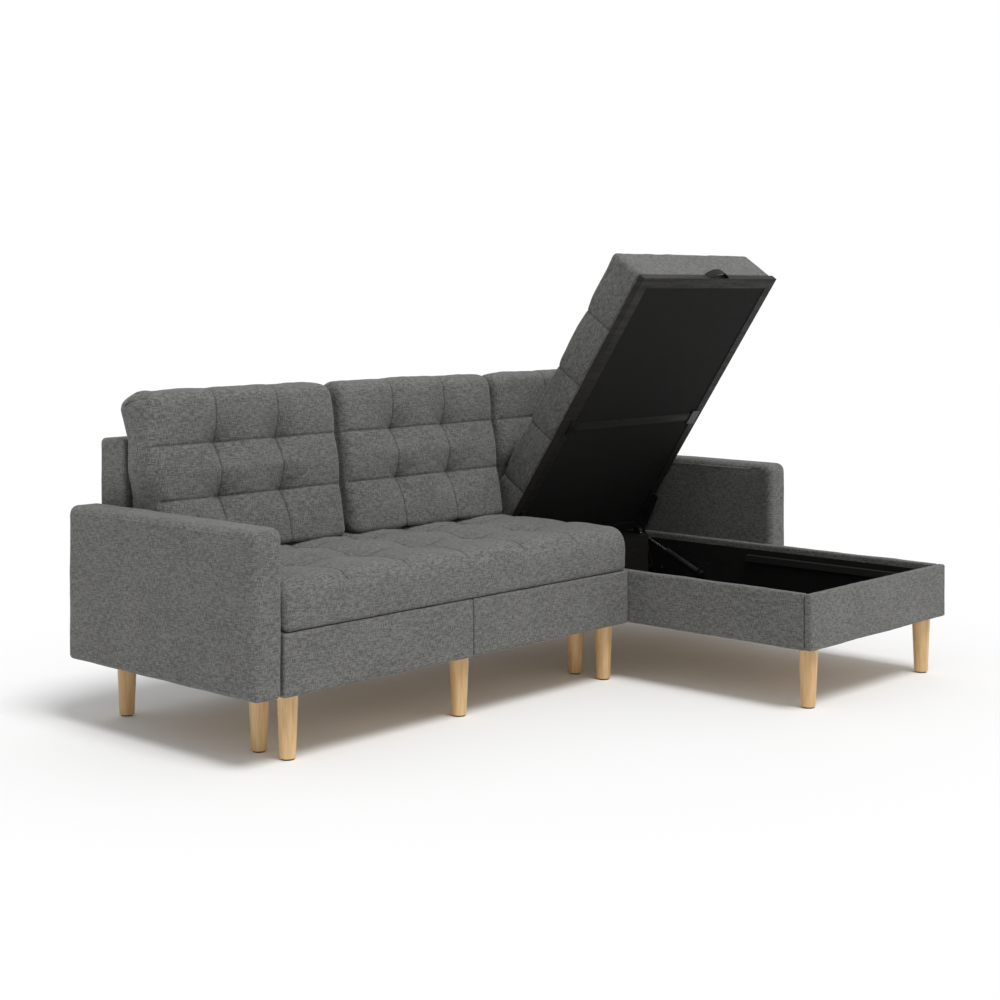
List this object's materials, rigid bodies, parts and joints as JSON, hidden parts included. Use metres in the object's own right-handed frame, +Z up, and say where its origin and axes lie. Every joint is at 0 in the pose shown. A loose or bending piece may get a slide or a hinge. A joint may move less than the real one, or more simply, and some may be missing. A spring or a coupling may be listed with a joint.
{
  "type": "storage corner sofa",
  "caption": "Corner sofa with tufted cushions, round wooden legs and a chaise whose padded seat tilts up on cranked hinges and gas struts over a storage box.",
  "frame": {"origin": "on the floor below the middle of the whole outline", "axes": "+X from the arm beside the two seats to the arm beside the chaise, +Y from the front to the back, +Z up"},
  "size_m": [2, 1.25, 1.0998],
  "materials": {
    "grey_fabric": "coarse heathered weave, matt",
    "frame_wood": "raw board",
    "dark_wood": "dark stained, matt",
    "black_lining": "thin black cloth, matt",
    "leg_wood": "clear satin varnish",
    "black_webbing": "ribbed webbing, matt",
    "black_steel": "black satin coat",
    "bright_steel": "ground bright",
    "glide_plastic": "matt"
  },
  "bodies": {
    "base": {"arm_left": "grey_fabric", "arm_right": "grey_fabric", "back_frame_seat": "grey_fabric", "back_frame_chaise": "grey_fabric", "back_ledge": "grey_fabric", "front_panel_left": "grey_fabric", "front_panel_middle": "grey_fabric", "box_front_panel": "grey_fabric", "box_left_panel": "grey_fabric", "box_right_panel": "grey_fabric", "seat_cushion": "grey_fabric", "back_cushion_left": "grey_fabric", "back_cushion_middle": "grey_fabric", "back_cushion_right": "grey_fabric", "seat_base_board": "frame_wood", "seat_rail_left": "frame_wood", "seat_rail_middle": "frame_wood", "seat_rail_right": "frame_wood", "seat_slats": "frame_wood", "box_bottom": "frame_wood", "box_rear_panel": "frame_wood", "box_batten_left": "dark_wood", "box_batten_right": "dark_wood", "rear_partition": "dark_wood", "rear_deck": "dark_wood", "box_lining": "black_lining", "leg_front_left": "leg_wood", "leg_second_left": "leg_wood", "leg_front_middle": "leg_wood", "leg_front_junction": "leg_wood", "leg_second_junction": "leg_wood", "leg_rear_left": "leg_wood", "leg_rear_middle": "leg_wood", "leg_rear_junction": "leg_wood", "leg_chaise_left": "leg_wood", "leg_chaise_right": "leg_wood", "leg_rear_right": "leg_wood", "hinge_base_left": "black_steel", "hinge_base_right": "black_steel", "leg_plates": "black_steel", "pivot_pin_left": "bright_steel", "pivot_pin_right": "bright_steel", "hinge_screws": "bright_steel", "leg_glides": "glide_plastic"},
    "lid": {"lid_frame": "dark_wood", "lid_board": "frame_wood", "lid_crossbar": "dark_wood", "lid_cloth_front": "black_lining", "lid_cloth_rear": "black_lining", "crossbar_brackets": "black_steel", "lid_cushion": "grey_fabric", "pull_strap": "black_webbing", "lid_crank_left": "black_steel", "lid_crank_right": "black_steel"},
    "strut_tube_body_left": {"strut_tube_left": "black_steel"},
    "strut_rod_body_left": {"strut_rod_left": "bright_steel"},
    "strut_tube_body_right": {"strut_tube_right": "black_steel"},
    "strut_rod_body_right": {"strut_rod_right": "bright_steel"}
  },
  "joints": [
    {"name": "lid_tilt", "type": "hinge", "parent": "base", "child": "lid", "pos_m": [0.588, 0.358, 0.181], "axis": [1, 0, 0], "range_deg": [0, 56], "stiffness_Nm_per_rad": 26, "springref_deg": -76.78},
    {"name": "strut_swing_left", "type": "hinge", "parent": "base", "child": "strut_tube_body_left", "pos_m": [0.3035, 0.155, 0.185], "axis": [1, 0, 0], "range_deg": [0, 9.94]},
    {"name": "strut_slide_left", "type": "slide", "parent": "strut_tube_body_left", "child": "strut_rod_body_left", "axis": [0, 0.9138, 0.4062], "range_m": [-0.1003, 0]},
    {"name": "strut_swing_right", "type": "hinge", "parent": "base", "child": "strut_tube_body_right", "pos_m": [0.8725, 0.155, 0.185], "axis": [1, 0, 0], "range_deg": [0, 9.94]},
    {"name": "strut_slide_right", "type": "slide", "parent": "strut_tube_body_right", "child": "strut_rod_body_right", "axis": [0, 0.9138, 0.4062], "range_m": [-0.1003, 0]}
  ],
  "couplings": [
    {"joint": "strut_swing_left", "follows": "lid_tilt", "ratio": 0.17581},
    {"joint": "strut_slide_left", "follows": "lid_tilt", "m_per_rad": -0.10165},
    {"joint": "strut_swing_right", "follows": "lid_tilt", "ratio": 0.17581},
    {"joint": "strut_slide_right", "follows": "lid_tilt", "m_per_rad": -0.10165}
  ]
}
